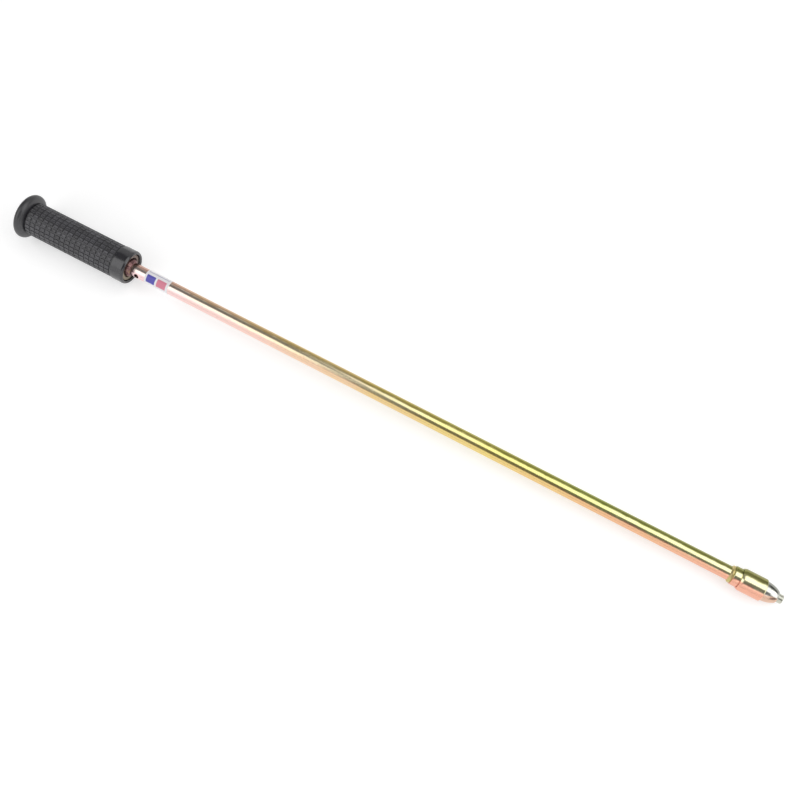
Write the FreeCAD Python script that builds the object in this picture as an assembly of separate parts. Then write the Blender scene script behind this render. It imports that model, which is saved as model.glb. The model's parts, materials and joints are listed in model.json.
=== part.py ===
import FreeCAD
import Part
import math
import os

# Magnetic pickup tool: a rubber grip on a steel handle core, a welded hollow shaft and a
# magnet head with a tapered nose. Millimetres. The tool is built level, with its axis on X
# and the butt of the grip at x = 0, and is then laid on the floor by floor_placement.

# ---- driving dimensions ----------------------------------------------------------------
TOOL_LENGTH = 762.0                 # 30 in from the butt of the grip to the pole's face

# grip
GRIP_LENGTH = 120.0
GRIP_R = 15.8                       # over the pads
GRIP_ROOT_R = 15.1                  # bottom of the grooves between the pads
GRIP_COLLAR_R = 16.3                # plain collar at the front
GRIP_FLANGE_R = 21.3                # mushroom flange at the butt
FLANGE_CREST = 6.0                  # station of the flange's greatest radius
FLANGE_FACE_R = 9.0                 # flat middle of the butt
FLANGE_DOME = (0.6, 14.4)           # (x, r) on the arc from the butt to the rear edge
FLANGE_REAR = (2.2, 19.1)           # (x, r) of the rear edge
FLANGE_FRONT = (9.2, 19.5)          # (x, r) of the front edge
FLANGE_HOLLOW = (10.4, 17.2)        # (x, r) on the arc from the front edge to the neck
GRIP_NECK_START = 10.9              # groove between flange and body
GRIP_NECK_END = 12.0
GRIP_NECK_R = 14.6
PAD_RINGS = 17
PAD_COLUMNS = 24
PAD_RING_PITCH = 5.49
PAD_FIRST_GROOVE = 17.1             # front edge of the first ring of pads
PAD_GROOVE_WIDTH = 0.8
COLLAR_GROOVE_WIDTH = 1.2
COLLAR_CHAMFER = 0.4
GRIP_LIP_R = 14.9                   # crest of the rounded front lip
GRIP_LIP_LENGTH = 3.0
GRIP_LIP_SHOULDER = (119.25, 15.75) # (x, r) on the arc outside the crest
GRIP_LIP_INSIDE = (119.5, 13.8)     # (x, r) on the arc inside the crest
GRIP_LIP_DEPTH = 2.2                # from the crest back to the rubber's inner edge
GRIP_MOUTH_GAP = 0.5                # between the lip and the core tube
BUTT_WALL = 9.0                     # solid rubber behind the core

# handle core
CORE_R = 12.7                       # 1 in tube
CORE_WALL = 3.0
CORE_FRONT = 118.2
CORE_CHAMFER = 0.4
BUSHING_LENGTH = 8.0
FRONT_BUSHING_RECESS = 1.5
REAR_BUSHING_FRONT = 42.0
CAP_WALL = 1.2
CAP_DEPTH = 7.0
BUSHING_CHAMFER = 0.5
FRONT_BEAD_R = 9.0
FRONT_BEAD_LENGTH = 4.9
FRONT_BEAD_CREST = (2.9, 8.25)      # (x from the bead's foot, r)
REAR_BEAD_R = 8.6
REAR_BEAD_LENGTH = 3.0
REAR_BEAD_CREST = (1.7, 7.9)

# shaft
SHAFT_R = 6.35                      # 1/2 in tube
SHAFT_WALL = 1.65
SHAFT_START = 30.0
SHAFT_END = 715.8
HOLE_R = 2.4                        # 3/16 in cross hole
HOLE_X = 128.5
HOLE_TURN = 66.7                    # degrees from +Z towards -Y

# label
LABEL_START = 136.9
LABEL_LENGTH = 25.0
LABEL_THICKNESS = 0.12
LABEL_GAP = 0.6                     # between its two ends, on the underside
CUT_MARGIN = 1.0                    # how far a cutter runs past what it cuts

# tip
TIP_BEAD_START = 714.4
TIP_BEAD_RISE = (715.2, 7.3)        # (x, r) on the step's slope
TIP_BEAD_TOP = (716.5, 7.7)
TIP_BEAD_FALL = (717.2, 7.6)
TIP_BEAD_END_R = 7.2
TIP_BEAD_ROOT_R = 5.6
COLLAR_R = 8.45
COLLAR_START = 717.6
COLLAR_END = 723.6
ADAPTOR_CHAMFER = 0.6
COLLAR_FRONT_CHAMFER = 0.3
SEAM_WIDTH = 0.3
SEAM_R = 7.4
SPIGOT_LENGTH = 24.0
STUB_R = 6.0
STUB_END = 729.0
SLEEVE_R = 10.0
SLEEVE_BORE_R = 7.6
SLEEVE_FLOOR_END = 727.0
SLEEVE_END = 745.4
SLEEVE_CHAMFER_REAR = 0.9
SLEEVE_CHAMFER_FRONT = 0.7
BACK_IRON_THICKNESS = 2.0
MAGNET_R = 5.5
MAGNET_LENGTH = 9.5
MAGNET_CHAMFER = 0.3
NOSE_START_R = 8.7
NOSE_END_R = 5.4
NOSE_END = 757.2
NOSE_RIM = 0.8                      # short straight rim before the taper
NOSE_BULGE = (0.7, 0.6)            # (x, r) from the taper's chord to its fullest point
POLE_R = 4.0
POLE_CHAMFER = 0.5
POLE_HEAD_R = 5.5
POLE_HEAD_LENGTH = 2.5

X_AXIS = FreeCAD.Vector(1, 0, 0)
Y_AXIS = FreeCAD.Vector(0, 1, 0)
ORIGIN = FreeCAD.Vector(0, 0, 0)


# ---- helpers ---------------------------------------------------------------------------
def vec(x, r):
    """A point of a half section: x along the tool, r from its axis."""
    return FreeCAD.Vector(x, 0, r)


def arc(start, middle, end):
    """An arc of a half section through three (x, r) points."""
    return Part.Arc(vec(*start), vec(*middle), vec(*end)).toShape()


def line(start, end):
    return Part.makeLine(vec(*start), vec(*end))


def turned(edges):
    """The solid that a closed half section makes, turned round the tool's axis."""
    wire = Part.Wire(edges)
    solid = Part.Face(wire).revolve(ORIGIN, X_AXIS, 360)
    return fixed(solid)


def turned_points(points):
    """A turned solid from straight runs through (x, r) points, closed back to the first."""
    edges = [line(points[i], points[(i + 1) % len(points)]) for i in range(len(points))]
    return turned(edges)


def ring(start, end, outer, inner, chamfer=0.0):
    """A plain ring, or a rod where inner is 0, with its outer edges broken by a chamfer."""
    points = [(start, inner)]
    if chamfer > 0:
        points += [(start, outer - chamfer), (start + chamfer, outer)]
        points += [(end - chamfer, outer), (end, outer - chamfer)]
    else:
        points += [(start, outer), (end, outer)]
    points.append((end, inner))
    return turned_points(points)


def fixed(solid):
    """The solid with its faces pointing outwards."""
    if solid.ShapeType != "Solid":
        solid = solid.Solids[0]
    if solid.Volume < 0:
        solid.reverse()
    return solid


def across(turn):
    """The direction square to the axis, turned by some degrees from +Z towards -Y."""
    angle = math.radians(turn)
    return FreeCAD.Vector(0, -math.sin(angle), math.cos(angle))


# ---- grip ------------------------------------------------------------------------------
def groove_stations():
    """Start and end of every ring groove between two rings of pads, from the butt forwards."""
    stations = []
    for index in range(PAD_RINGS - 1):
        start = PAD_FIRST_GROOVE + index * PAD_RING_PITCH
        stations.append((start, start + PAD_GROOVE_WIDTH))
    return stations


def collar_start():
    """Where the plain front collar begins, after the last ring of pads and its groove."""
    return PAD_FIRST_GROOVE + (PAD_RINGS - 1) * PAD_RING_PITCH + COLLAR_GROOVE_WIDTH


def make_grip():
    """Closed rubber grip: domed flange, neck groove, ribbed body, collar and rounded lip."""
    edges = [line((0.0, 0.0), (0.0, FLANGE_FACE_R))]
    edges.append(arc((0.0, FLANGE_FACE_R), FLANGE_DOME, FLANGE_REAR))
    edges.append(arc(FLANGE_REAR, (FLANGE_CREST, GRIP_FLANGE_R), FLANGE_FRONT))
    edges.append(arc(FLANGE_FRONT, FLANGE_HOLLOW, (GRIP_NECK_START, GRIP_NECK_R)))
    edges.append(line((GRIP_NECK_START, GRIP_NECK_R), (GRIP_NECK_END, GRIP_NECK_R)))
    outline = [(GRIP_NECK_END, GRIP_NECK_R), (GRIP_NECK_END, GRIP_R)]
    for start, end in groove_stations():
        outline += [(start, GRIP_R), (start, GRIP_ROOT_R), (end, GRIP_ROOT_R), (end, GRIP_R)]
    collar = collar_start()
    outline += [(collar - COLLAR_GROOVE_WIDTH, GRIP_R), (collar - COLLAR_GROOVE_WIDTH, GRIP_ROOT_R)]
    outline += [(collar, GRIP_ROOT_R), (collar, GRIP_COLLAR_R - COLLAR_CHAMFER)]
    outline.append((collar + COLLAR_CHAMFER, GRIP_COLLAR_R))
    outline.append((GRIP_LENGTH - GRIP_LIP_LENGTH, GRIP_COLLAR_R))
    edges += [line(outline[i], outline[i + 1]) for i in range(len(outline) - 1)]
    mouth_r = CORE_R + GRIP_MOUTH_GAP
    lip_foot = GRIP_LENGTH - GRIP_LIP_DEPTH
    edges.append(arc(outline[-1], GRIP_LIP_SHOULDER, (GRIP_LENGTH, GRIP_LIP_R)))
    edges.append(arc((GRIP_LENGTH, GRIP_LIP_R), GRIP_LIP_INSIDE, (lip_foot, mouth_r)))
    inner = [(lip_foot, mouth_r), (lip_foot, CORE_R), (BUTT_WALL, CORE_R), (BUTT_WALL, 0.0), (0.0, 0.0)]
    edges += [line(inner[i], inner[i + 1]) for i in range(len(inner) - 1)]
    solid = turned(edges)
    return cut_pad_columns(solid)


def cut_pad_columns(solid):
    """Lengthwise grooves that part the ribs into separate pads."""
    start = GRIP_NECK_END - CUT_MARGIN
    length = collar_start() - COLLAR_GROOVE_WIDTH - start
    depth = GRIP_R - GRIP_ROOT_R + CUT_MARGIN
    cutters = []
    for index in range(PAD_COLUMNS):
        corner = FreeCAD.Vector(start, -0.5 * PAD_GROOVE_WIDTH, GRIP_ROOT_R)
        cutter = Part.makeBox(length, PAD_GROOVE_WIDTH, depth, corner)
        cutter.rotate(ORIGIN, X_AXIS, index * 360.0 / PAD_COLUMNS)
        cutters.append(cutter)
    return fixed(solid.cut(Part.makeCompound(cutters)))


# ---- handle core -----------------------------------------------------------------------
def make_core_end_cap():
    """Pressed steel cup that sits in the rear end of the core tube, its flange on the edge."""
    bore = CORE_R - CORE_WALL
    inner = bore - CAP_WALL
    face = BUTT_WALL
    rim = face + CAP_WALL
    return turned_points([(face, 0.0), (face, CORE_R), (rim, CORE_R), (rim, bore),
                          (rim + CAP_DEPTH, bore), (rim + CAP_DEPTH, inner), (rim, inner), (rim, 0.0)])


def make_handle_core_tube():
    """Steel tube through the grip, its front edges broken by a small chamfer."""
    start = BUTT_WALL + CAP_WALL
    bore = CORE_R - CORE_WALL
    front = CORE_FRONT
    chamfer = CORE_CHAMFER
    return turned_points([(start, bore), (start, CORE_R), (front - chamfer, CORE_R),
                          (front, CORE_R - chamfer), (front, bore + chamfer), (front - chamfer, bore)])


def make_bushing(front):
    """Steel ring that fills the gap between the core tube and the shaft."""
    return ring(front - BUSHING_LENGTH, front, CORE_R - CORE_WALL, SHAFT_R, BUSHING_CHAMFER)


def bead(start, foot_r, length, crest):
    """Ring weld: a rounded fillet from foot_r on a bushing's face down to the shaft."""
    end = start + length
    edges = [line((start, SHAFT_R), (start, foot_r))]
    edges.append(arc((start, foot_r), (start + crest[0], crest[1]), (end, SHAFT_R)))
    edges.append(line((end, SHAFT_R), (start, SHAFT_R)))
    return turned(edges)


def make_front_weld_bead():
    start = CORE_FRONT - FRONT_BUSHING_RECESS
    return bead(start, FRONT_BEAD_R, FRONT_BEAD_LENGTH, FRONT_BEAD_CREST)


def make_rear_weld_bead():
    return bead(REAR_BUSHING_FRONT, REAR_BEAD_R, REAR_BEAD_LENGTH, REAR_BEAD_CREST)


# ---- shaft -----------------------------------------------------------------------------
def make_shaft_tube():
    """Steel tube with one hole drilled across it, just ahead of the grip."""
    tube = ring(SHAFT_START, SHAFT_END, SHAFT_R, SHAFT_R - SHAFT_WALL)
    direction = across(HOLE_TURN)
    reach = SHAFT_R + CUT_MARGIN
    base = FreeCAD.Vector(HOLE_X, 0, 0) - direction * reach
    drill = Part.makeCylinder(HOLE_R, 2.0 * reach, base, direction)
    return fixed(tube.cut(drill))


def make_label():
    """Thin printed label wrapped round the shaft, with a narrow gap between its ends."""
    end = LABEL_START + LABEL_LENGTH
    wrap = ring(LABEL_START, end, SHAFT_R + LABEL_THICKNESS, SHAFT_R)
    corner = FreeCAD.Vector(LABEL_START - CUT_MARGIN, -0.5 * LABEL_GAP, -SHAFT_R - CUT_MARGIN)
    slit = Part.makeBox(LABEL_LENGTH + 2.0 * CUT_MARGIN, LABEL_GAP, 2.0 * CUT_MARGIN, corner)
    return fixed(wrap.cut(slit))


# ---- tip -------------------------------------------------------------------------------
def make_tip_weld_bead():
    """Ring weld that steps from the shaft up to the tip's collar."""
    toe = (TIP_BEAD_START, SHAFT_R)
    end = (COLLAR_START, TIP_BEAD_END_R)
    edges = [arc(toe, TIP_BEAD_RISE, TIP_BEAD_TOP)]
    edges.append(arc(TIP_BEAD_TOP, TIP_BEAD_FALL, end))
    inner = [end, (COLLAR_START, TIP_BEAD_ROOT_R), (SHAFT_END, TIP_BEAD_ROOT_R), (SHAFT_END, SHAFT_R), toe]
    edges += [line(inner[i], inner[i + 1]) for i in range(len(inner) - 1)]
    return turned(edges)


def make_tip_adaptor():
    """Turned steel: spigot in the shaft, collar, seam groove and stub in the sleeve."""
    spigot_r = SHAFT_R - SHAFT_WALL
    start = SHAFT_END - SPIGOT_LENGTH
    edge = ADAPTOR_CHAMFER
    front = COLLAR_FRONT_CHAMFER
    return turned_points([(start, 0.0), (start, spigot_r - edge), (start + edge, spigot_r),
                          (SHAFT_END, spigot_r), (SHAFT_END, TIP_BEAD_ROOT_R),
                          (COLLAR_START, TIP_BEAD_ROOT_R), (COLLAR_START, COLLAR_R - edge),
                          (COLLAR_START + edge, COLLAR_R), (COLLAR_END - front, COLLAR_R),
                          (COLLAR_END, COLLAR_R - front), (COLLAR_END, SEAM_R), (sleeve_start(), SEAM_R),
                          (sleeve_start(), STUB_R), (STUB_END, STUB_R), (STUB_END, 0.0)])


def sleeve_start():
    return COLLAR_END + SEAM_WIDTH


def make_tip_sleeve():
    """Steel cup that houses the magnet: a floor with a hole for the stub, and a plain bore."""
    start = sleeve_start()
    rear = SLEEVE_CHAMFER_REAR
    front = SLEEVE_CHAMFER_FRONT
    return turned_points([(start, STUB_R), (start, SLEEVE_R - rear), (start + rear, SLEEVE_R),
                          (SLEEVE_END - front, SLEEVE_R), (SLEEVE_END, SLEEVE_R - front),
                          (SLEEVE_END, SLEEVE_BORE_R), (SLEEVE_FLOOR_END, SLEEVE_BORE_R),
                          (SLEEVE_FLOOR_END, STUB_R)])


def make_back_iron_disc():
    """Soft iron disc between the adaptor's stub and the magnet."""
    return ring(STUB_END, STUB_END + BACK_IRON_THICKNESS, SLEEVE_BORE_R, 0.0)


def magnet_start():
    return STUB_END + BACK_IRON_THICKNESS


def magnet_end():
    return magnet_start() + MAGNET_LENGTH


def make_magnet():
    """Permanent magnet, a plain ground rod with broken edges."""
    return ring(magnet_start(), magnet_end(), MAGNET_R, 0.0, MAGNET_CHAMFER)


def make_magnet_spacer():
    """Brass ring that keeps the magnet away from the steel sleeve."""
    return ring(magnet_start(), magnet_end(), SLEEVE_BORE_R, MAGNET_R)


def make_pole_pin():
    """Soft iron pole: a head on the magnet and a pin through the nose."""
    head_end = magnet_end() + POLE_HEAD_LENGTH
    end = TOOL_LENGTH
    chamfer = POLE_CHAMFER
    return turned_points([(magnet_end(), 0.0), (magnet_end(), POLE_HEAD_R), (head_end, POLE_HEAD_R),
                          (head_end, POLE_R), (end - chamfer, POLE_R), (end, POLE_R - chamfer),
                          (end, 0.0)])


def make_nose_shell():
    """Turned nose: a spigot in the sleeve, a short rim, a rounded taper and a bore for the pole."""
    start = magnet_end()
    head_end = start + POLE_HEAD_LENGTH
    rim = SLEEVE_END + NOSE_RIM
    edges = [line((start, POLE_HEAD_R), (start, SLEEVE_BORE_R))]
    edges.append(line((start, SLEEVE_BORE_R), (SLEEVE_END, SLEEVE_BORE_R)))
    edges.append(line((SLEEVE_END, SLEEVE_BORE_R), (SLEEVE_END, NOSE_START_R)))
    edges.append(line((SLEEVE_END, NOSE_START_R), (rim, NOSE_START_R)))
    middle_x = 0.5 * (rim + NOSE_END) + NOSE_BULGE[0]
    middle_r = 0.5 * (NOSE_START_R + NOSE_END_R) + NOSE_BULGE[1]
    edges.append(arc((rim, NOSE_START_R), (middle_x, middle_r), (NOSE_END, NOSE_END_R)))
    inner = [(NOSE_END, NOSE_END_R), (NOSE_END, POLE_R), (head_end, POLE_R),
             (head_end, POLE_HEAD_R), (start, POLE_HEAD_R)]
    edges += [line(inner[i], inner[i + 1]) for i in range(len(inner) - 1)]
    return turned(edges)


# ---- the assembly ----------------------------------------------------------------------
def make_all():
    return {
        "grip": make_grip(),
        "core_end_cap": make_core_end_cap(),
        "handle_core_tube": make_handle_core_tube(),
        "rear_bushing": make_bushing(REAR_BUSHING_FRONT),
        "rear_weld_bead": make_rear_weld_bead(),
        "front_bushing": make_bushing(CORE_FRONT - FRONT_BUSHING_RECESS),
        "front_weld_bead": make_front_weld_bead(),
        "shaft_tube": make_shaft_tube(),
        "label": make_label(),
        "tip_weld_bead": make_tip_weld_bead(),
        "tip_adaptor": make_tip_adaptor(),
        "tip_sleeve": make_tip_sleeve(),
        "back_iron_disc": make_back_iron_disc(),
        "magnet": make_magnet(),
        "magnet_spacer": make_magnet_spacer(),
        "nose_shell": make_nose_shell(),
        "pole_pin": make_pole_pin(),
    }


def floor_placement(shapes):
    """Nose down until flange and sleeve both touch the floor, then centred on the origin."""
    drop = GRIP_FLANGE_R - SLEEVE_R
    run = SLEEVE_END - SLEEVE_CHAMFER_FRONT - FLANGE_CREST
    tilt = math.degrees(math.atan(drop / run))
    turn = FreeCAD.Placement(ORIGIN, FreeCAD.Rotation(Y_AXIS, tilt))
    box = FreeCAD.BoundBox()
    for shape in shapes.values():
        copy = shape.copy()
        copy.Placement = turn
        box.add(copy.optimalBoundingBox(False))
    shift = FreeCAD.Vector(-0.5 * (box.XMin + box.XMax), 0, -box.ZMin)
    print("tilt", round(tilt, 4), "shift", round(shift.x, 3), round(shift.z, 3))
    print("size", round(box.XLength, 2), round(box.YLength, 2), round(box.ZLength, 2))
    return FreeCAD.Placement(shift, turn.Rotation)


def main():
    os.makedirs("parts", exist_ok=True)
    shapes = make_all()
    placement = floor_placement(shapes)
    for name, shape in shapes.items():
        shape = shape.copy()
        shape.Placement = placement
        solids = len(shape.Solids)
        print(name, "valid", shape.isValid(), "solids", solids, "mm3", round(shape.Volume, 1))
        shape.exportStep("parts/" + name + ".step")


main()
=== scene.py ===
import json
import math
import random
import bmesh
import bpy
from mathutils import Matrix, Vector


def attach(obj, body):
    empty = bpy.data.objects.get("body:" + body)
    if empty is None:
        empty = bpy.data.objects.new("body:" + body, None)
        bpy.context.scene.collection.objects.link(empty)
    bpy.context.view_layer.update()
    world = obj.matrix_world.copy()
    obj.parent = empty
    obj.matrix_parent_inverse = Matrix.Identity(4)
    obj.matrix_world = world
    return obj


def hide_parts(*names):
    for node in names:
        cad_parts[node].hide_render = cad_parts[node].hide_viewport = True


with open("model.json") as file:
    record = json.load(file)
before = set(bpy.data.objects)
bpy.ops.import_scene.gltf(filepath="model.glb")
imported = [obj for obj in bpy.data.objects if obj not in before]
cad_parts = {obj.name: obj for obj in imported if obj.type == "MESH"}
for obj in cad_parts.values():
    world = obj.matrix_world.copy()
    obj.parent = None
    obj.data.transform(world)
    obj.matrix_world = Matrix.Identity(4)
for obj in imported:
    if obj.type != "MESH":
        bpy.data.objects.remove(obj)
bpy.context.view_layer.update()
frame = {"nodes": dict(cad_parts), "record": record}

# Magnetic pickup tool: rubber grip on a steel core, plated hollow shaft, welded magnet head.
# Pieces are drawn in the tool's own millimetres, s along its axis from the butt and r from
# that axis, and are then laid in the frame by PLACE.

# ---- the tool's place in the frame -----------------------------------------------------
MM = 0.001
TOOL_LENGTH = 762.0
MOUNTS = {mount["name"]: mount for mount in frame["record"]["mounts"]}
AXIS = Vector(MOUNTS["pole_face"]["axis"]).normalized()
SIDE = Vector((0.0, 1.0, 0.0))
RISE = AXIS.cross(SIDE)
BUTT = Vector(MOUNTS["pole_face"]["pos_m"]) - AXIS * TOOL_LENGTH * MM
TURN = Matrix((AXIS, SIDE, RISE)).transposed()
PLACE = Matrix.Translation(BUTT) @ TURN.to_4x4() @ Matrix.Scale(MM, 4)

# ---- sizes in millimetres, the CAD model's own -----------------------------------------
GRIP_LENGTH = 120.0
GRIP_R = 15.8
GRIP_ROOT_R = 15.1
GRIP_COLLAR_R = 16.3
GRIP_FLANGE_R = 21.3
PAD_RINGS = 17
PAD_COLUMNS = 24
PAD_PITCH = 5.49
PAD_LENGTH = 4.75
PAD_GAP = 0.7
PAD_FIRST = 14.7
COLLAR_OF_GRIP = 106.1
CORE_R = 12.7
CORE_BORE_R = 9.7
CORE_FRONT = 118.2
CORE_START = 10.2
BUSHING_FRONT = 116.7
BUSHING_LENGTH = 8.0
SHAFT_R = 6.35
SHAFT_BORE_R = 4.7
SHAFT_START = 30.0
SHAFT_END = 715.8
HOLE_S = 128.5
HOLE_R = 2.4
HOLE_TURN = math.radians(66.7)
LABEL_START = 136.9
LABEL_END = 161.9
LABEL_R = 6.47
COLLAR_R = 8.45
COLLAR_START = 717.6
COLLAR_END = 723.6
SLEEVE_START = 723.9
SLEEVE_END = 745.4
SLEEVE_R = 10.0
SLEEVE_BORE_R = 7.6
NOSE_END = 757.2
POLE_R = 4.0
FRONT_BEAD_R = 9.0
FRONT_BEAD_LENGTH = 4.9
FRONT_BEAD_CREST = (2.9, 8.25)       # (s from the bead's foot, r)
TIP_BEAD_START = 714.4
PLUG_START = 691.8                   # rear end of the adaptor's spigot in the shaft
PLUG_NECK_R = 5.6
STUB_END = 729.0
STUB_R = 6.0
SEAM_R = 7.4
SLEEVE_FLOOR_END = 727.0
MAGNET_FRONT = 740.5
POLE_HEAD_R = 5.5
POLE_HEAD_END = 743.0
NOSE_SHOULDER_R = 8.7
NOSE_FRONT_R = 5.5


# ---- small helpers ---------------------------------------------------------------------
def tube_point(s, r, angle):
    """A point of the tool: angle is from straight up towards -Y, in radians."""
    return (s, -r * math.sin(angle), r * math.cos(angle))


def arc(start, middle, end, steps=8):
    """Points of the circular arc through three (s, r) points, without its last point."""
    (ax, ay), (bx, by), (cx, cy) = start, middle, end
    d = 2 * (ax * (by - cy) + bx * (cy - ay) + cx * (ay - by))
    aa, bb, cc = ax * ax + ay * ay, bx * bx + by * by, cx * cx + cy * cy
    ux = (aa * (by - cy) + bb * (cy - ay) + cc * (ay - by)) / d
    uy = (aa * (cx - bx) + bb * (ax - cx) + cc * (bx - ax)) / d
    radius = math.hypot(ax - ux, ay - uy)
    first = math.atan2(ay - uy, ax - ux)
    last = math.atan2(cy - uy, cx - ux)
    inside = (math.atan2(by - uy, bx - ux) - first) % math.tau
    sweep = (last - first) % math.tau
    if inside > sweep:
        sweep -= math.tau
    turns = [first + sweep * i / steps for i in range(steps)]
    return [(ux + radius * math.cos(t), uy + radius * math.sin(t)) for t in turns]


def rounded(corners, steps=4):
    """A closed outline from (s, r, fillet) corners, each turned into a small arc."""
    points = []
    count = len(corners)
    for i, (s, r, fillet) in enumerate(corners):
        corner = Vector((s, r))
        if fillet <= 0:
            points.append((s, r))
            continue
        back = (Vector(corners[i - 1][:2]) - corner).normalized()
        ahead = (Vector(corners[(i + 1) % count][:2]) - corner).normalized()
        half = back.angle(ahead) / 2
        reach = fillet / math.tan(half)
        start = corner + back * reach
        end = corner + ahead * reach
        centre = corner + (back + ahead).normalized() * (fillet / math.sin(half))
        middle = centre + (corner - centre).normalized() * fillet
        points += arc(tuple(start), tuple(middle), tuple(end), steps) + [tuple(end)]
    return points


def finish_mesh(name, mesh, material, sharp=35.0):
    """Lays a mesh in the frame and makes its object: smooth, with hard edges kept."""
    mesh.transform(PLACE)
    mesh.polygons.foreach_set("use_smooth", [True] * len(mesh.polygons))
    mesh.set_sharp_from_angle(angle=math.radians(sharp))
    mesh.materials.clear()
    mesh.materials.append(material)
    piece = bpy.data.objects.new(name, mesh)
    bpy.context.scene.collection.objects.link(piece)
    return piece


def recalculated(mesh):
    """Merges doubles and turns every face outwards."""
    edit = bmesh.new()
    edit.from_mesh(mesh)
    bmesh.ops.remove_doubles(edit, verts=edit.verts, dist=0.0005)
    bmesh.ops.recalc_face_normals(edit, faces=edit.faces)
    edit.to_mesh(mesh)
    edit.free()
    return mesh


def turned(name, outline, material, segments=96, closed=True, wobble=None):
    """A turned piece: an outline of (s, r) points spun round the axis, with a UV map."""
    verts, faces, uvs = [], [], []
    rows = []
    for index, (s, r) in enumerate(outline):
        if r < 1e-6:
            rows.append([len(verts)] * segments)
            verts.append((s, 0.0, 0.0))
            continue
        row = []
        for k in range(segments):
            angle = math.tau * k / segments
            extra = wobble(index, angle) if wobble else 0.0
            row.append(len(verts))
            verts.append(tube_point(s, r + extra, angle))
        rows.append(row)
    length = [0.0]
    for a, b in zip(outline, outline[1:] + outline[:1]):
        length.append(length[-1] + math.dist(a, b))
    spans = len(rows) if closed else len(rows) - 1
    for i in range(spans):
        a, b = rows[i], rows[(i + 1) % len(rows)]
        for k in range(segments):
            n = (k + 1) % segments
            corners = [(a[k], k, 0), (a[n], k + 1, 0), (b[n], k + 1, 1), (b[k], k, 1)]
            kept = []
            for corner in corners:
                if corner[0] not in [other[0] for other in kept]:
                    kept.append(corner)
            if len(kept) < 3:
                continue
            faces.append([corner[0] for corner in kept])
            uvs += [(length[i + corner[2]] * MM, corner[1] / segments) for corner in kept]
    mesh = bpy.data.meshes.new(name)
    mesh.from_pydata(verts, [], faces)
    layer = mesh.uv_layers.new(name="UVMap")
    for loop, uv in zip(layer.data, uvs):
        loop.uv = uv
    return finish_mesh(name, recalculated(mesh), material)


def ride(piece, slot, *nodes):
    """Lets a finished piece stand for its CAD nodes."""
    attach(piece, "root")
    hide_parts(*nodes)
    return piece


# ---- materials -------------------------------------------------------------------------
def linear(code):
    """An sRGB hex colour as linear RGBA."""
    channels = [int(code[i:i + 2], 16) / 255 for i in (1, 3, 5)]
    return tuple(c / 12.92 if c <= 0.04045 else ((c + 0.055) / 1.055) ** 2.4 for c in channels) + (1.0,)


def add(tree, kind, inputs=None, stops=None, **settings):
    """Adds a node with its settings, colour stops and inputs, which are values or sockets."""
    node = tree.nodes.new(kind)
    for name, value in settings.items():
        setattr(node, name, value)
    for index, (place, colour) in enumerate(stops or []):
        elements = node.color_ramp.elements
        element = elements[index] if index < 2 else elements.new(place)
        element.position = place
        element.color = linear(colour) if isinstance(colour, str) else (colour, colour, colour, 1.0)
    for key, value in (inputs or {}).items():
        if isinstance(value, bpy.types.NodeSocket):
            tree.links.new(value, node.inputs[key])
        else:
            node.inputs[key].default_value = value
    return node


def new_material(name, **shader):
    """A node material with one Principled shader, its constant sockets set, and its tree."""
    material = bpy.data.materials.new(name)
    material.use_nodes = True
    tree = material.node_tree
    tree.nodes.clear()
    principled = add(tree, "ShaderNodeBsdfPrincipled", shader)
    output = add(tree, "ShaderNodeOutputMaterial")
    tree.links.new(principled.outputs["BSDF"], output.inputs["Surface"])
    return material, tree, principled


def tool_space(tree):
    """Object coordinates turned into the tool's own millimetres."""
    place = add(tree, "ShaderNodeTexCoord").outputs["Object"]
    mapping = add(tree, "ShaderNodeMapping", {"Vector": place, "Location": BUTT,
                  "Rotation": TURN.to_euler(), "Scale": (MM, MM, MM)}, vector_type="TEXTURE")
    return mapping.outputs["Vector"]


def moulded_rubber():
    """Moulded black rubber: matte, with a slight grain and paler, handled pad tops."""
    material, tree, shader = new_material("moulded_rubber", **{"IOR": 1.52, "Specular IOR Level": 0.9})
    place = tool_space(tree)
    cloud = add(tree, "ShaderNodeTexNoise", {"Vector": place, "Scale": 0.11, "Detail": 3.0})
    grain = add(tree, "ShaderNodeTexNoise", {"Vector": place, "Scale": 3.2, "Detail": 4.0, "Roughness": 0.6})
    wear = add(tree, "ShaderNodeAttribute", attribute_name="pad_wear")
    colour = add(tree, "ShaderNodeValToRGB", {"Fac": cloud.outputs["Fac"]},
                 stops=[(0.3, "#1f1e23"), (0.7, "#26252a")])
    paler = add(tree, "ShaderNodeMix", {"Factor": wear.outputs["Fac"], 6: colour.outputs["Color"],
                7: linear("#3b3a40")}, data_type="RGBA")
    tree.links.new(paler.outputs[2], shader.inputs["Base Color"])
    rough = add(tree, "ShaderNodeMapRange", {"Value": grain.outputs["Fac"], "From Min": 0.3, "From Max": 0.7,
                "To Min": 0.32, "To Max": 0.46})
    along = add(tree, "ShaderNodeSeparateXYZ", {"Vector": place}).outputs["X"]
    collar = add(tree, "ShaderNodeMapRange", {"Value": along, "From Min": COLLAR_OF_GRIP - 0.5,
                 "From Max": COLLAR_OF_GRIP + 0.5, "To Max": 0.18})
    smoother = add(tree, "ShaderNodeMath", {0: rough.outputs["Result"], 1: collar.outputs["Result"]},
                   operation="SUBTRACT")
    tree.links.new(smoother.outputs[0], shader.inputs["Roughness"])
    bump = add(tree, "ShaderNodeBump", {"Height": grain.outputs["Fac"], "Strength": 0.25,
               "Distance": 0.00012})
    tree.links.new(bump.outputs["Normal"], shader.inputs["Normal"])
    return material


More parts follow.
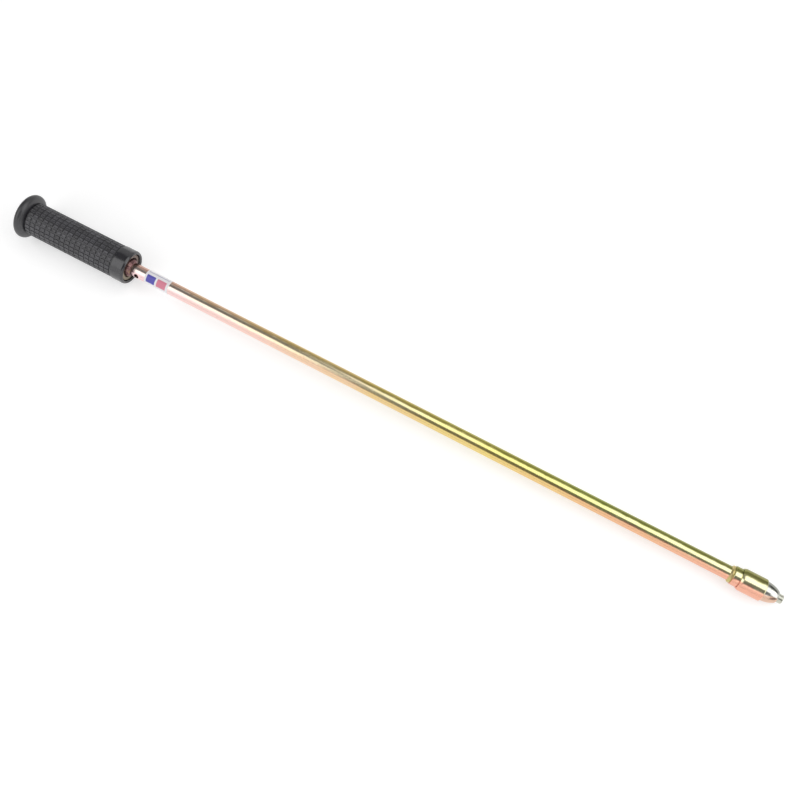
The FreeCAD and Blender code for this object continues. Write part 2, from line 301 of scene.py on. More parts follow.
def film_colour_with_painted_light(tree, place, tops, middles, undersides):
    """Colour of the chromate film: it drifts along the tool and differs round it, where it carries painted
    light: painted shade on top, a pale painted highlight across the middle, and a warm band underneath that
    is partly the film's tint and partly a painted reflection.
    """
    drift = add(tree, "ShaderNodeTexNoise", {"Vector": place, "Scale": 0.03, "Detail": 2.0})
    split = add(tree, "ShaderNodeSeparateXYZ", {"Vector": place})
    along = add(tree, "ShaderNodeMath", {0: split.outputs["X"], 1: 1.0 / TOOL_LENGTH}, operation="MULTIPLY")
    shifted = add(tree, "ShaderNodeMath", {0: drift.outputs["Fac"], 1: 0.16, 2: along.outputs[0]},
                  operation="MULTIPLY_ADD")
    station = add(tree, "ShaderNodeMath", {0: shifted.outputs[0], 1: 0.08}, operation="SUBTRACT")
    ramps = []
    for stops in (tops, middles, undersides):
        ramps.append(add(tree, "ShaderNodeValToRGB", {"Fac": station.outputs[0]}, stops=stops))
    flat = add(tree, "ShaderNodeVectorMath", {0: place, 1: (0.0, 1.0, 1.0)}, operation="MULTIPLY")
    radial = add(tree, "ShaderNodeVectorMath", {0: flat.outputs["Vector"]}, operation="NORMALIZE")
    # Direction across the view, fixed in the tool: it places the bands of painted shade, painted highlight
    # and painted reflection.
    painted_band_side = add(tree, "ShaderNodeVectorMath", {0: radial.outputs["Vector"], 1: (0.0, 0.969, 0.245)},
               operation="DOT_PRODUCT")
    patches = add(tree, "ShaderNodeTexNoise", {"Vector": place, "Scale": 0.09, "Detail": 3.0,
                  "Distortion": 0.6})
    uneven = add(tree, "ShaderNodeMath", {0: patches.outputs["Fac"], 1: 0.5, 2: painted_band_side.outputs["Value"]},
                 operation="MULTIPLY_ADD")
    high = add(tree, "ShaderNodeMapRange", {"Value": uneven.outputs[0], "From Min": 0.62, "From Max": 0.92},
               interpolation_type="SMOOTHSTEP")
    low = add(tree, "ShaderNodeMapRange", {"Value": uneven.outputs[0], "From Min": 0.18, "From Max": -0.08},
              interpolation_type="SMOOTHSTEP")
    upper = add(tree, "ShaderNodeMix", {"Factor": high.outputs["Result"], 6: ramps[1].outputs["Color"],
                7: ramps[0].outputs["Color"]}, data_type="RGBA")
    both = add(tree, "ShaderNodeMix", {"Factor": low.outputs["Result"], 6: upper.outputs[2],
               7: ramps[2].outputs["Color"]}, data_type="RGBA")
    return both.outputs[2]


# Colours along the tool for the three bands round it: darkened on top as painted shade, pale in the middle as
# a painted highlight, warm underneath as partly film tint and partly a painted reflection.
TOP_FILM_PAINTED_SHADE = [(0.17, "#d3ab9c"), (0.33, "#cdb07c"), (0.5, "#c0ac62"), (0.64, "#a5a04e"), (0.78, "#93994a"),
            (0.95, "#8f8c52")]
MIDDLE_FILM_PAINTED_HIGHLIGHT = [(0.17, "#f3e2da"), (0.33, "#f4e2c0"), (0.5, "#f3e6bc"), (0.64, "#efe48c"), (0.78, "#eef0a0"),
               (0.95, "#f4efc4")]
UNDER_FILM_PAINTED_REFLECTION = [(0.17, "#f3d2d2"), (0.33, "#f2cdc0"), (0.5, "#e6c890"), (0.64, "#e8d081"), (0.78, "#eab98c"),
              (0.95, "#eaae96")]


def yellow_zinc(name, lines, roughness, tops=TOP_FILM_PAINTED_SHADE, middles=MIDDLE_FILM_PAINTED_HIGHLIGHT, unders=UNDER_FILM_PAINTED_REFLECTION):
    """Yellow chromated zinc plate on steel: bright, faintly iridescent, with the tube's or lathe's own lines
    under it, its colour carrying painted shade, a painted highlight and a painted reflection in bands round
    the tool. lines is the stretch of the line pattern per axis."""
    material, tree, shader = new_material(name, **{"Metallic": 1.0})
    place = tool_space(tree)
    colour = film_colour_with_painted_light(tree, place, tops, middles, unders)
    tree.links.new(colour, shader.inputs["Base Color"])
    stretched = add(tree, "ShaderNodeVectorMath", {0: place, 1: lines}, operation="MULTIPLY")
    streaks = add(tree, "ShaderNodeTexNoise", {"Vector": stretched.outputs["Vector"], "Scale": 1.0,
                  "Detail": 5.0})
    rough = add(tree, "ShaderNodeMapRange", {"Value": streaks.outputs["Fac"], "From Min": 0.25,
                "From Max": 0.75,
                "To Min": roughness - 0.05, "To Max": roughness + 0.06})
    tree.links.new(rough.outputs["Result"], shader.inputs["Roughness"])
    bump = add(tree, "ShaderNodeBump", {"Height": streaks.outputs["Fac"], "Strength": 0.12,
               "Distance": 0.0001})
    tree.links.new(bump.outputs["Normal"], shader.inputs["Normal"])
    return material


def weld_metal(name, tints, scale):
    """Weld metal under the plate: lumpy, its film tinted in patches by the heat."""
    material, tree, shader = new_material(name, **{"Metallic": 1.0})
    place = tool_space(tree)
    lumps = add(tree, "ShaderNodeTexNoise", {"Vector": place, "Scale": scale, "Detail": 3.0,
                "Distortion": 0.8})
    colour = add(tree, "ShaderNodeValToRGB", {"Fac": lumps.outputs["Fac"]}, stops=tints)
    tree.links.new(colour.outputs["Color"], shader.inputs["Base Color"])
    fine = add(tree, "ShaderNodeTexNoise", {"Vector": place, "Scale": 2.2, "Detail": 4.0})
    rough = add(tree, "ShaderNodeMapRange", {"Value": fine.outputs["Fac"], "To Min": 0.2, "To Max": 0.42})
    tree.links.new(rough.outputs["Result"], shader.inputs["Roughness"])
    bump = add(tree, "ShaderNodeBump", {"Height": fine.outputs["Fac"], "Strength": 0.3, "Distance": 0.0002})
    tree.links.new(bump.outputs["Normal"], shader.inputs["Normal"])
    return material


def bright_metal(name, dark, light, low, high, ring=(2.5, 0.15, 0.15)):
    """Turned and plated or bare bright metal, with fine rings left by the tool."""
    material, tree, shader = new_material(name, **{"Metallic": 1.0})
    place = tool_space(tree)
    stretched = add(tree, "ShaderNodeVectorMath", {0: place, 1: ring}, operation="MULTIPLY")
    rings = add(tree, "ShaderNodeTexNoise", {"Vector": stretched.outputs["Vector"], "Scale": 1.0,
                "Detail": 4.0})
    cloud = add(tree, "ShaderNodeTexNoise", {"Vector": place, "Scale": 0.2, "Detail": 2.0})
    colour = add(tree, "ShaderNodeValToRGB", {"Fac": cloud.outputs["Fac"]},
                 stops=[(0.35, dark), (0.65, light)])
    tree.links.new(colour.outputs["Color"], shader.inputs["Base Color"])
    rough = add(tree, "ShaderNodeMapRange", {"Value": rings.outputs["Fac"], "From Min": 0.3, "From Max": 0.7,
                "To Min": low, "To Max": high})
    tree.links.new(rough.outputs["Result"], shader.inputs["Roughness"])
    bump = add(tree, "ShaderNodeBump", {"Height": rings.outputs["Fac"], "Strength": 0.1, "Distance": 0.0001})
    tree.links.new(bump.outputs["Normal"], shader.inputs["Normal"])
    return material


def printed_film():
    """Polyester label film: white, semi-gloss, printed with a plain blue and a plain red block."""
    material, tree, shader = new_material("printed_polyester_film", **{"IOR": 1.57, "Roughness": 0.28})
    uv = add(tree, "ShaderNodeUVMap", uv_map="UVMap").outputs["UV"]
    split = add(tree, "ShaderNodeSeparateXYZ", {"Vector": uv})
    colour = None
    white = linear("#f1eff2")
    # each block: low and high along the label, low and high round it, ink
    blocks = [(0.08, 0.44, 0.486, 0.678, "#524db2"), (0.52, 0.90, 0.486, 0.678, "#dd8298"),
              (0.06, 0.92, 0.398, 0.409, "#45458f")]
    for low_u, high_u, low_v, high_v, ink in blocks:
        tests = []
        for socket, bound, operation in ((0, low_u, "GREATER_THAN"), (0, high_u, "LESS_THAN"),
                                         (1, low_v, "GREATER_THAN"), (1, high_v, "LESS_THAN")):
            tests.append(add(tree, "ShaderNodeMath", {0: split.outputs[socket], 1: bound},
                             operation=operation).outputs[0])
        mask = tests[0]
        for test in tests[1:]:
            mask = add(tree, "ShaderNodeMath", {0: mask, 1: test}, operation="MULTIPLY").outputs[0]
        mix = add(tree, "ShaderNodeMix", {"Factor": mask, 6: colour or white, 7: linear(ink)},
                  data_type="RGBA")
        colour = mix.outputs[2]
    tree.links.new(colour, shader.inputs["Base Color"])
    place = tool_space(tree)
    ripple = add(tree, "ShaderNodeTexNoise", {"Vector": place, "Scale": 0.25, "Detail": 2.0})
    bump = add(tree, "ShaderNodeBump", {"Height": ripple.outputs["Fac"], "Strength": 0.2, "Distance": 0.0003})
    tree.links.new(bump.outputs["Normal"], shader.inputs["Normal"])
    return material


# Moulded rubber: near black, satin, the collar a little glossier than the handled pads.
RUBBER = moulded_rubber()
# Yellow chromated zinc: drawn tube has lines along it, turned parts have rings round them, and the
# cut tube end is duller and browned by the weld's heat. Their colours are painted in bands round the
# tool: painted shade on top, a pale painted highlight across the middle and a warm painted reflection
# underneath; on the cut tube end only a darker top as painted shade and a paler, greener underneath.
SHAFT_PLATE = yellow_zinc("yellow_zinc_on_drawn_tube", (0.02, 1.6, 1.6), 0.2)
TURNED_PLATE = yellow_zinc("yellow_zinc_on_turned_steel", (2.2, 0.1, 0.1), 0.18)
CORE_PLATE = yellow_zinc("yellow_zinc_on_cut_tube_end", (1.0, 1.0, 1.0), 0.34,
                         # Bands round the tool: darker on top as painted shade, paler and greener underneath.
                         [(0.0, "#74665f"), (1.0, "#74665f")], [(0.0, "#85766a"), (1.0, "#85766a")],
                         [(0.0, "#8b8271"), (1.0, "#8b8271")])
# Weld beads: the one in the handle browned and purple, the one at the tip plated over, pale gold.
HANDLE_WELD = weld_metal("heat_browned_weld_bead", [(0.3, "#5a4340"), (0.7, "#9a7e60"), (0.45, "#7a5a5a"),
                         (0.57, "#866868")], 0.22)
TIP_WELD = weld_metal("zinc_plated_weld_bead", [(0.3, "#c9b68c"), (0.7, "#d3c998"), (0.45, "#cdbb82"),
                      (0.57, "#c0b26c")], 0.25)
# Turned nose: a thin bright plate, grey above as painted shade, near white where lit as a painted highlight,
# warm underneath as a painted reflection.
NICKEL = yellow_zinc("bright_plate_on_turned_nose", (2.2, 0.1, 0.1), 0.2,
                     [(0.0, "#96978f"), (1.0, "#96978f")], [(0.0, "#e4e4dc"), (1.0, "#e4e4dc")],
                     [(0.0, "#d9b59f"), (1.0, "#d9b59f")])
# Bare metals: soft iron with turned rings, and the hidden parts in their own steel, alloy and brass.
POLE = bright_metal("turned_soft_iron", "#b4b5a8", "#d2d2c4", 0.2, 0.34)
OILED_STEEL = bright_metal("oiled_plain_steel", "#6f6e6c", "#8b8a88", 0.3, 0.45)
MAGNET_ALLOY = bright_metal("ground_magnet_alloy", "#5f5d5a", "#76736f", 0.28, 0.4)
BRASS = bright_metal("turned_brass", "#b8954a", "#d0ad60", 0.2, 0.3)
LABEL_FILM = printed_film()


# ---- grip ------------------------------------------------------------------------------
def grip_outline():
    """The rubber body under the pads: dome, flange, neck, body, collar, lip and bore."""
    points = [(0.0, 0.0), (0.0, 4.0)]
    points += arc((0.0, 9.0), (0.6, 14.4), (2.2, 19.1), 10)
    points += arc((2.2, 19.1), (6.0, GRIP_FLANGE_R), (9.2, 19.5), 20)
    points += arc((9.2, 19.5), (10.4, 17.2), (10.9, 14.8), 8)
    points += [(10.95, 14.6), (11.8, 14.6), (12.0, 14.75), (12.0, GRIP_ROOT_R)]
    collar = COLLAR_OF_GRIP
    points += [(collar - 0.05, GRIP_ROOT_R), (collar, 15.6)]
    points += arc((collar, 15.6), (collar + 0.25, 16.1), (collar + 0.8, GRIP_COLLAR_R), 5)
    points += [(collar + 0.8, GRIP_COLLAR_R), (111.0, GRIP_COLLAR_R + 0.02)]
    lip = GRIP_LENGTH - 3.0
    mouth = CORE_R + 0.5
    points += arc((lip, GRIP_COLLAR_R), (GRIP_LENGTH - 0.75, GRIP_COLLAR_R - 0.55), (GRIP_LENGTH, 14.9), 10)
    points += arc((GRIP_LENGTH, 14.9), (GRIP_LENGTH - 0.5, mouth + 0.6), (GRIP_LENGTH - 2.2, mouth), 8)
    points += [(GRIP_LENGTH - 2.2, mouth), (GRIP_LENGTH - 3.4, CORE_R), (9.0, CORE_R), (9.0, 0.0)]
    return points


def pad_mesh():
    """One raised pad, flat: a rounded rectangle with a shallow hollow in its top."""
    width = math.tau * GRIP_ROOT_R / PAD_COLUMNS - PAD_GAP
    height = GRIP_R - GRIP_ROOT_R
    # inset from the pad's edge and height of each loop, from the foot to the hollow
    loops = [(-0.04, -0.3), (0.02, 0.0), (0.08, height * 0.78), (0.24, height), (0.56, height),
             (0.74, height * 0.68), (0.95, height * 0.6)]
    mesh = bpy.data.meshes.new("pad")
    verts, faces = [], []
    corner_steps = 3
    for inset, z in loops:
        x, y = PAD_LENGTH / 2 - inset, width / 2 - inset
        radius = max(0.55 - inset * 0.3, 0.2)
        for quarter in range(4):
            sx = 1 if quarter in (0, 3) else -1
            sy = 1 if quarter in (0, 1) else -1
            for step in range(corner_steps + 1):
                angle = math.pi / 2 * (quarter + step / corner_steps)
                verts.append((sx * (x - radius) + radius * math.cos(angle),
                              sy * (y - radius) + radius * math.sin(angle), z))
    size = 4 * (corner_steps + 1)
    for loop in range(len(loops) - 1):
        for k in range(size):
            n = (k + 1) % size
            a, b = loop * size, (loop + 1) * size
            faces.append((a + k, a + n, b + n, b + k))
    faces.append(tuple(range((len(loops) - 1) * size, len(loops) * size)))
    faces.append(tuple(reversed(range(size))))
    mesh.from_pydata(verts, [], faces)
    pad = bpy.data.objects.new("pad", mesh)
    bpy.context.scene.collection.objects.link(pad)
    return pad


def pad_tree():
    """Geometry nodes: a flat field of pads, wrapped round the grip."""
    tree = bpy.data.node_groups.new("grip_pads", "GeometryNodeTree")
    face = tree.interface
    face.new_socket("Geometry", in_out="INPUT", socket_type="NodeSocketGeometry")
    sockets = [("Pad", "Object"), ("Rings", "Int"), ("Columns", "Int"), ("Ring Pitch", "Float"),
               ("First Ring", "Float"), ("Root Radius", "Float"), ("Seed", "Int"), ("Rubber", "Material")]
    for name, kind in sockets:
        face.new_socket(name, in_out="INPUT", socket_type="NodeSocket" + kind)
    face.new_socket("Geometry", in_out="OUTPUT", socket_type="NodeSocketGeometry")
    given = add(tree, "NodeGroupInput").outputs
    gaps = add(tree, "ShaderNodeMath", {0: given["Rings"], 1: 1.0}, operation="SUBTRACT")
    length = add(tree, "ShaderNodeMath", {0: gaps.outputs[0], 1: given["Ring Pitch"]}, operation="MULTIPLY")
    round_length = add(tree, "ShaderNodeMath", {0: given["Root Radius"], 1: math.tau}, operation="MULTIPLY")
    share = add(tree, "ShaderNodeMath", {0: round_length.outputs[0], 1: given["Columns"]}, operation="DIVIDE")
    width = add(tree, "ShaderNodeMath", {0: round_length.outputs[0], 1: share.outputs[0]},
                operation="SUBTRACT")
    field = add(tree, "GeometryNodeMeshGrid", {"Size X": length.outputs[0], "Size Y": width.outputs[0],
                "Vertices X": given["Rings"], "Vertices Y": given["Columns"]})
    wear = add(tree, "FunctionNodeRandomValue", {"Seed": given["Seed"]}, data_type="FLOAT")
    worn = add(tree, "GeometryNodeStoreNamedAttribute", {"Geometry": field.outputs["Mesh"],
               "Name": "pad_wear",
               "Value": wear.outputs[1]}, data_type="FLOAT", domain="POINT")
    source = add(tree, "GeometryNodeObjectInfo", {"Object": given["Pad"]})
    pads = add(tree, "GeometryNodeInstanceOnPoints", {"Points": worn.outputs["Geometry"],
               "Instance": source.outputs["Geometry"]})
    real = add(tree, "GeometryNodeRealizeInstances", {"Geometry": pads.outputs["Instances"]})
    spot = add(tree, "ShaderNodeSeparateXYZ", {"Vector": add(tree, "GeometryNodeInputPosition").outputs[0]})
    middle = add(tree, "ShaderNodeMath", {0: length.outputs[0], 1: 0.5, 2: given["First Ring"]},
                 operation="MULTIPLY_ADD")
    s = add(tree, "ShaderNodeMath", {0: spot.outputs["X"], 1: middle.outputs[0]}, operation="ADD")
    r = add(tree, "ShaderNodeMath", {0: spot.outputs["Z"], 1: given["Root Radius"]}, operation="ADD")
    angle = add(tree, "ShaderNodeMath", {0: spot.outputs["Y"], 1: given["Root Radius"]}, operation="DIVIDE")
    sine = add(tree, "ShaderNodeMath", {0: angle.outputs[0]}, operation="SINE")
    cosine = add(tree, "ShaderNodeMath", {0: angle.outputs[0]}, operation="COSINE")
    y = add(tree, "ShaderNodeMath", {0: sine.outputs[0], 1: r.outputs[0]}, operation="MULTIPLY")
    z = add(tree, "ShaderNodeMath", {0: cosine.outputs[0], 1: r.outputs[0]}, operation="MULTIPLY")
    wrapped = add(tree, "ShaderNodeCombineXYZ", {"X": s.outputs[0], "Y": y.outputs[0], "Z": z.outputs[0]})
    moved = add(tree, "GeometryNodeSetPosition", {"Geometry": real.outputs["Geometry"],
                "Position": wrapped.outputs["Vector"]})
    painted = add(tree, "GeometryNodeSetMaterial", {"Geometry": moved.outputs["Geometry"],
                  "Material": given["Rubber"]})
    add(tree, "NodeGroupOutput", {"Geometry": painted.outputs["Geometry"]})
    return tree


def grown(name, tree, values):
    """The plain mesh that a geometry-nodes tree makes, with its named inputs set."""
    host = bpy.data.objects.new(name + "_host", bpy.data.meshes.new(name + "_host"))
    bpy.context.scene.collection.objects.link(host)
    modifier = host.modifiers.new(name, "NODES")
    modifier.node_group = tree
    for item in tree.interface.items_tree:
        if item.item_type == "SOCKET" and item.in_out == "INPUT" and item.name in values:
            modifier[item.identifier] = values[item.name]
    shown = host.evaluated_get(bpy.context.evaluated_depsgraph_get())
    mesh = bpy.data.meshes.new_from_object(shown)
    host.modifiers.remove(modifier)
    bpy.data.objects.remove(host)
    mesh.name = name
    return mesh


def make_grip():
    body = turned("grip_body", grip_outline(), RUBBER, segments=160, closed=False)
    ride(body, "grip_rubber", "grip")
    pad = pad_mesh()
    mesh = grown("grip_pads", pad_tree(), {"Pad": pad, "Rings": PAD_RINGS, "Columns": PAD_COLUMNS,
                 "Ring Pitch": PAD_PITCH, "First Ring": PAD_FIRST, "Root Radius": GRIP_ROOT_R,
                 "Seed": 4, "Rubber": RUBBER})
    bpy.data.objects.remove(pad)
    pads = finish_mesh("grip_pads", mesh, RUBBER, 50.0)
    ride(pads, "grip_rubber", "grip")


# ---- handle core -----------------------------------------------------------------------
def make_core():
    edge = 0.35
    tube = rounded([(CORE_START, CORE_BORE_R, 0), (CORE_START, CORE_R, 0), (CORE_FRONT, CORE_R, edge),
                    (CORE_FRONT, CORE_BORE_R, edge)])
    ride(turned("handle_core_tube_shell", tube, CORE_PLATE, 128), "zinc_plated_steel", "handle_core_tube")
    start = BUSHING_FRONT - BUSHING_LENGTH
    bush = rounded([(start, SHAFT_R, 0), (start, CORE_BORE_R, 0.4), (BUSHING_FRONT, CORE_BORE_R, 0.4),
                    (BUSHING_FRONT, SHAFT_R, 0)])
    ride(turned("front_bushing_ring", bush, CORE_PLATE, 96), "zinc_plated_steel", "front_bushing")


# ---- welds -----------------------------------------------------------------------------
def make_weld(name, node, outline, material, ripples, depth, seed):
    """A ring weld with overlapping ripples, each a little different from the next."""
    source = random.Random(seed)
    heights = [source.uniform(0.55, 1.0) for _ in range(ripples)]
    count = len(outline)

    def wobble(index, angle):
        across = index / (count - 1) * 2 - 1
        phase = (angle / math.tau * ripples + 0.35 * across * across) % ripples
        step = phase % 1.0
        crown = math.sin(math.pi * step ** 0.6) * (1.0 - across * across)
        return depth * heights[int(phase) % ripples] * crown

    piece = turned(name, outline, material, 240, wobble=wobble)
    return ride(piece, "weld_metal", node)


def make_welds():
    foot = BUSHING_FRONT
    crest = (foot + FRONT_BEAD_CREST[0], FRONT_BEAD_CREST[1])
    toe = foot + FRONT_BEAD_LENGTH
    front = arc((foot, FRONT_BEAD_R), crest, (toe, SHAFT_R), 12)
    front += [(toe, SHAFT_R - 0.1), (foot, SHAFT_R - 0.1)]
    make_weld("front_weld_ripples", "front_weld_bead", front, HANDLE_WELD, 17, 0.3, 3)
    start = TIP_BEAD_START
    tip = arc((start, SHAFT_R), (start + 0.8, 7.2), (start + 2.1, 7.6), 8)
    tip += arc((start + 2.1, 7.6), (start + 2.8, 7.5), (COLLAR_START + 0.1, 7.2), 5)
    tip += [(COLLAR_START + 0.1, 6.0), (start, 6.0)]
    make_weld("tip_weld_ripples", "tip_weld_bead", tip, TIP_WELD, 12, 0.22, 9)


# ---- shaft -----------------------------------------------------------------------------
def shaft_outline():
    edge = 0.3
    return rounded([(SHAFT_START, SHAFT_BORE_R, 0), (SHAFT_START, SHAFT_R, edge), (SHAFT_END, SHAFT_R, 0),
                    (SHAFT_END, SHAFT_BORE_R, 0)])


def drill():
    """The cutter of the cross hole, in the frame."""
    edit = bmesh.new()
    bmesh.ops.create_cone(edit, cap_ends=True, segments=48, radius1=HOLE_R, radius2=HOLE_R,
                          depth=4 * SHAFT_R)
    mesh = bpy.data.meshes.new("drill")
    edit.to_mesh(mesh)
    edit.free()
    turn = Matrix.Rotation(HOLE_TURN, 4, "X")
    mesh.transform(Matrix.Translation((HOLE_S, 0.0, 0.0)) @ turn)
    mesh.transform(PLACE)
    cutter = bpy.data.objects.new("drill", mesh)
    bpy.context.scene.collection.objects.link(cutter)
    return cutter


def make_shaft():
    shaft = turned("shaft_tube_drilled", shaft_outline(), SHAFT_PLATE, 128)
    cutter = drill()
    cut = shaft.modifiers.new("cross_hole", "BOOLEAN")
    cut.operation = "DIFFERENCE"
    cut.solver = "EXACT"
    cut.object = cutter
    shown = shaft.evaluated_get(bpy.context.evaluated_depsgraph_get())
    mesh = bpy.data.meshes.new_from_object(shown)
    shaft.modifiers.remove(cut)
    shaft.data = mesh
    mesh.set_sharp_from_angle(angle=math.radians(30))
    bpy.data.objects.remove(cutter)
    ride(shaft, "zinc_plated_steel", "shaft_tube")


# ---- label -----------------------------------------------------------------------------
def make_label():
    """A film wrapped nearly all the way round, its ends apart on the underside."""
    columns, rows = 26, 120
    gap = 0.3 / LABEL_R
    verts, faces, uvs = [], [], []
    for layer, r in enumerate((LABEL_R, SHAFT_R + 0.01)):
        for i in range(columns + 1):
            s = LABEL_START + (LABEL_END - LABEL_START) * i / columns
            for k in range(rows + 1):
                angle = -math.pi + gap + (math.tau - 2 * gap) * k / rows
                verts.append(tube_point(s, r, angle))
    layer_size = (columns + 1) * (rows + 1)

    def spot(layer, i, k):
        return layer * layer_size + i * (rows + 1) + k

    def uv(i, k):
        return (i / columns, k / rows)

    for i in range(columns):
        for k in range(rows):
            ring = [(i, k), (i, k + 1), (i + 1, k + 1), (i + 1, k)]
            faces.append([spot(0, *c) for c in ring])
            uvs += [uv(*c) for c in ring]
            faces.append([spot(1, *c) for c in reversed(ring)])
            uvs += [uv(*c) for c in reversed(ring)]
    border = [(i, 0) for i in range(columns)] + [(columns, k) for k in range(rows)]
    border += [(i, rows) for i in range(columns, 0, -1)] + [(0, k) for k in range(rows, 0, -1)]
    for a, b in zip(border, border[1:] + border[:1]):
        faces.append([spot(0, *a), spot(0, *b), spot(1, *b), spot(1, *a)])
        uvs += [uv(*a), uv(*b), uv(*b), uv(*a)]
    mesh = bpy.data.meshes.new("label_film")
    mesh.from_pydata(verts, [], faces)
    layer = mesh.uv_layers.new(name="UVMap")
    for loop, value in zip(layer.data, uvs):
        loop.uv = value
    edit = bmesh.new()
    edit.from_mesh(mesh)
    bmesh.ops.recalc_face_normals(edit, faces=edit.faces)
    edit.to_mesh(mesh)
    edit.free()
    ride(finish_mesh("label_film", mesh, LABEL_FILM), "label_film", "label")


# ---- tip -------------------------------------------------------------------------------
def make_tip():
    spigot = SHAFT_BORE_R
    adaptor = rounded([(PLUG_START, 0, 0), (PLUG_START, spigot, 0.5), (SHAFT_END, spigot, 0),
                       (SHAFT_END, PLUG_NECK_R, 0), (COLLAR_START, PLUG_NECK_R, 0),
                       (COLLAR_START, COLLAR_R, 0.6), (COLLAR_END, COLLAR_R, 0.3),
                       (COLLAR_END, SEAM_R, 0), (SLEEVE_START, SEAM_R, 0), (SLEEVE_START, STUB_R, 0),
                       (STUB_END, STUB_R, 0.3), (STUB_END, 0, 0)])
    ride(turned("tip_adaptor_collar", adaptor, TURNED_PLATE, 128, closed=False), "zinc_plated_steel",
         "tip_adaptor")
    sleeve = rounded([(SLEEVE_START, STUB_R, 0), (SLEEVE_START, SLEEVE_R - 0.9, 0.3),
                      (SLEEVE_START + 2.2, SLEEVE_R, 0.5), (SLEEVE_END - 0.7, SLEEVE_R, 0.25),
                      (SLEEVE_END, SLEEVE_R - 0.7, 0.15), (SLEEVE_END, SLEEVE_BORE_R, 0),
                      (SLEEVE_FLOOR_END, SLEEVE_BORE_R, 0), (SLEEVE_FLOOR_END, STUB_R, 0)])
    ride(turned("tip_sleeve_shell", sleeve, TURNED_PLATE, 128), "zinc_plated_steel", "tip_sleeve")
    taper = arc((SLEEVE_END + 0.8, NOSE_SHOULDER_R), (752.4, 7.65), (NOSE_END - 0.15, NOSE_FRONT_R), 14)
    nose = [(MAGNET_FRONT, POLE_HEAD_R), (MAGNET_FRONT, SLEEVE_BORE_R), (SLEEVE_END, SLEEVE_BORE_R),
            (SLEEVE_END, NOSE_SHOULDER_R - 0.2), (SLEEVE_END + 0.2, NOSE_SHOULDER_R)]
    nose += taper
    nose += [(NOSE_END, 5.2), (NOSE_END, POLE_R), (POLE_HEAD_END, POLE_R), (POLE_HEAD_END, POLE_HEAD_R)]
    ride(turned("nose_taper", nose, NICKEL, 128), "bright_nickel", "nose_shell")
    pole = rounded([(MAGNET_FRONT, 0, 0), (MAGNET_FRONT, POLE_HEAD_R, 0), (POLE_HEAD_END, POLE_HEAD_R, 0),
                    (POLE_HEAD_END, POLE_R, 0), (TOOL_LENGTH - 0.5, POLE_R, 0.2),
                    (TOOL_LENGTH, POLE_R - 0.5, 0.15), (TOOL_LENGTH, 0, 0)])
    ride(turned("pole_pin_end", pole, POLE, 96, closed=False), "pole_iron", "pole_pin")


def paint_hidden_nodes():
    """The CAD nodes that stay: pieces inside the tool, in their own metals."""
    finishes = {"core_end_cap": OILED_STEEL, "rear_bushing": CORE_PLATE, "rear_weld_bead": HANDLE_WELD,
                "back_iron_disc": OILED_STEEL, "magnet": MAGNET_ALLOY, "magnet_spacer": BRASS}
    for node, material in finishes.items():
        mesh = frame["nodes"][node].data
        mesh.materials.clear()
        mesh.materials.append(material)


# ---- stage, light and camera -----------------------------------------------------------
FLOOR_HALF = 20.0                    # metres
WORLD_GREY = 0.16
# each light: its place, the point it faces, its two sizes (metres), power and turn in degrees
SOFTBOXES = {
    "key": ((0.72, 0.48, 1.27), (0.35, 0.0, 0.0), (2.55, 1.35), 14.0, 9),
    "grip_key": ((-1.15, -0.6, 1.18), (-0.3, 0.0, 0.0), (1.3, 1.4), 7.6, 0),
    "fill": ((0.0, -1.31, 0.46), (0.0, 0.0, 0.0), (3.0, 0.85), 7.4, 0),
    "tip_fill": ((1.15, -1.07, 0.9), (0.4, 0.0, 0.0), (1.4, 0.4), 1.6, 0),
    "back_fill": ((-0.3, 1.2, 0.55), (-0.1, 0.0, 0.0), (2.4, 0.9), 3.0, 0),
    "end_fill": ((1.8, 0.1, 0.85), (0.35, 0.0, 0.0), (1.4, 1.3), 6.5, 90),
}
CAMERA_TILT = math.radians(8.45)     # leans towards the magnet
CAMERA_LEAN = math.radians(14.2)     # leans towards -Y
CAMERA_ROLL = math.radians(27.0)     # slope of the tool across the frame
CAMERA_DISTANCE = 900.0
CAMERA_STATION = 399.0               # the station on the axis that it looks at
CAMERA_OFFSET = 3.93
CAMERA_LENS = 45.75
ACROSS = RISE * math.cos(CAMERA_LEAN) - SIDE * math.sin(CAMERA_LEAN)
BACK = AXIS * math.sin(CAMERA_TILT) + ACROSS * math.cos(CAMERA_TILT)
ALONG = (AXIS - BACK * AXIS.dot(BACK)).normalized()
ASIDE = BACK.cross(ALONG)
RIGHT = ALONG * math.cos(CAMERA_ROLL) + ASIDE * math.sin(CAMERA_ROLL)
UP = ASIDE * math.cos(CAMERA_ROLL) - ALONG * math.sin(CAMERA_ROLL)


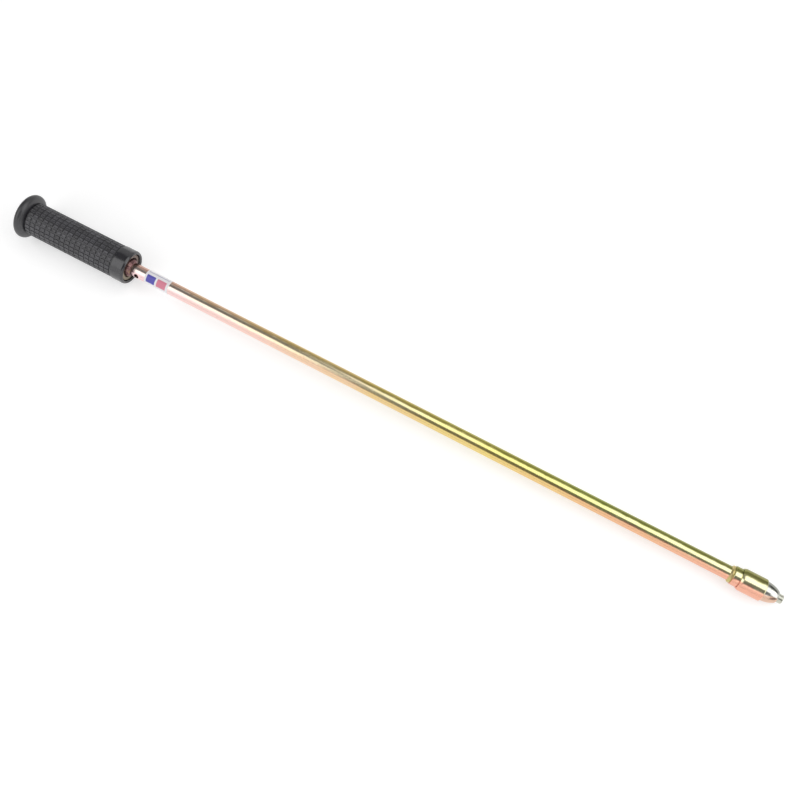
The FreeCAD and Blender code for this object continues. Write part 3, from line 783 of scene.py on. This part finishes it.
def make_camera():
    """Looks down on the middle of the tool, turned so that the tool lies across the frame."""
    data = bpy.data.cameras.new("camera")
    data.sensor_width = 36.0
    data.lens = CAMERA_LENS
    data.clip_start = 0.01
    camera = bpy.data.objects.new("camera", data)
    bpy.context.scene.collection.objects.link(camera)
    target = PLACE @ Vector((CAMERA_STATION, 0.0, 0.0)) + ASIDE * CAMERA_OFFSET * MM
    turn = Matrix((RIGHT, UP, BACK)).transposed().to_4x4()
    camera.matrix_world = Matrix.Translation(target + BACK * CAMERA_DISTANCE * MM) @ turn
    bpy.context.scene.camera = camera


def softbox(name, place, target, size, power, roll):
    """A rectangular studio light that faces target."""
    data = bpy.data.lights.new(name, "AREA")
    data.shape = "RECTANGLE"
    data.size, data.size_y = size
    data.energy = power
    light = bpy.data.objects.new(name, data)
    bpy.context.scene.collection.objects.link(light)
    facing = (Vector(place) - Vector(target)).normalized()
    along = Vector((math.cos(roll), math.sin(roll), 0.0))
    across = facing.cross(along).normalized()
    along = across.cross(facing)
    light.matrix_world = Matrix.Translation(place) @ Matrix((along, across, facing)).transposed().to_4x4()


def make_stage():
    material, tree, shader = new_material("white_studio_paper", **{"Roughness": 0.9,
                                          "Specular IOR Level": 0.2,
                                          "Emission Color": (1.0, 1.0, 1.0, 1.0), "Emission Strength": 0.49})
    place = add(tree, "ShaderNodeTexCoord").outputs["Object"]
    fibre = add(tree, "ShaderNodeTexNoise", {"Vector": place, "Scale": 900.0, "Detail": 2.0})
    colour = add(tree, "ShaderNodeValToRGB", {"Fac": fibre.outputs["Fac"]},
                 stops=[(0.3, "#d7d7d7"), (0.7, "#dcdcdc")])
    tree.links.new(colour.outputs["Color"], shader.inputs["Base Color"])
    mesh = bpy.data.meshes.new("floor")
    half = FLOOR_HALF
    corners = [(-half, -half, 0), (half, -half, 0), (half, half, 0), (-half, half, 0)]
    mesh.from_pydata(corners, [], [(0, 1, 2, 3)])
    mesh.materials.append(material)
    floor = bpy.data.objects.new("floor", mesh)
    bpy.context.scene.collection.objects.link(floor)


def make_lights():
    world = bpy.data.worlds.new("studio")
    world.use_nodes = True
    world.node_tree.nodes["Background"].inputs["Color"].default_value = (WORLD_GREY,) * 3 + (1.0,)
    bpy.context.scene.world = world
    for name, (place, target, size, power, turn) in SOFTBOXES.items():
        softbox(name, place, target, size, power, math.radians(turn))
    bpy.context.scene.view_settings.view_transform = "Standard"


make_grip()
make_core()
make_welds()
make_shaft()
make_label()
make_tip()
paint_hidden_nodes()
make_stage()
make_lights()
make_camera()
